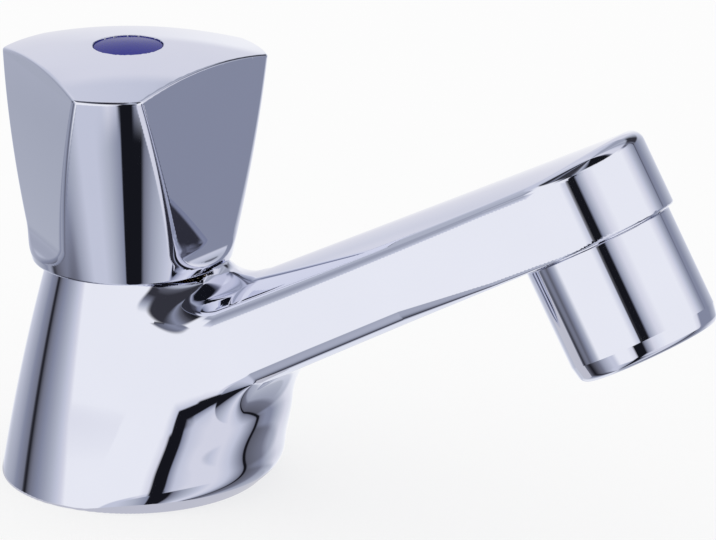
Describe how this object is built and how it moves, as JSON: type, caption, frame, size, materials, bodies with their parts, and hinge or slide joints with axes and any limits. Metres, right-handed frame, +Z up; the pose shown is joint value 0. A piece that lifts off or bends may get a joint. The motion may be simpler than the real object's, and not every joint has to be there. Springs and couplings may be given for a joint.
{
  "type": "pillar tap",
  "caption": "Chromed cold water pillar tap with a rising fixed spout, a three-lobed handle, a screw-down valve and an aerator.",
  "frame": {"origin": "where the valve axis meets the deck surface", "axes": "+Z up along the valve axis, +X towards the spout outlet, +Y to the left of the spout seen from the handle"},
  "size_m": [0.1468, 0.0509, 0.1321],
  "materials": {
    "chrome_body": "polished chrome plate on cast brass",
    "chrome_handle": "polished chrome plate",
    "chrome_aerator": "polished chrome plate on turned brass",
    "brass": "machined",
    "steel": "stainless, machined",
    "rubber_black": "moulded",
    "fibre_red": "pressed fibre",
    "plastic_blue": "glossy, transparent blue",
    "plastic_white": "moulded",
    "plastic_grey": "moulded"
  },
  "bodies": {
    "tap": {"tap_body": "chrome_body", "base_seal": "rubber_black", "inlet_shank": "brass", "shank_seal": "fibre_red", "deck_washer": "rubber_black", "back_nut": "brass", "headwork_body": "brass", "headwork_seal": "fibre_red", "thrust_washer": "plastic_white", "aerator_housing": "chrome_aerator", "aerator_seal": "rubber_black", "aerator_insert": "plastic_white", "aerator_strainer": "plastic_grey", "aerator_screen": "steel"},
    "handle": {"handle": "chrome_handle", "handle_bush": "plastic_white", "handle_screw": "steel", "indicator_cap": "plastic_blue", "spindle": "brass", "spindle_o_rings": "rubber_black", "spindle_circlip": "steel"},
    "plunger": {"valve_plunger": "brass", "valve_washer": "rubber_black", "washer_screw": "brass"}
  },
  "joints": [
    {"name": "handle_turn", "type": "hinge", "parent": "tap", "child": "handle", "pos_m": [0, 0, 0], "axis": [0, 0, 1], "range_deg": [0, 630]},
    {"name": "plunger_lift", "type": "slide", "parent": "tap", "child": "plunger", "axis": [0, 0, 1], "range_m": [0, 0.0055]}
  ],
  "couplings": [
    {"joint": "plunger_lift", "follows": "handle_turn", "m_per_rad": 0.00047746}
  ]
}
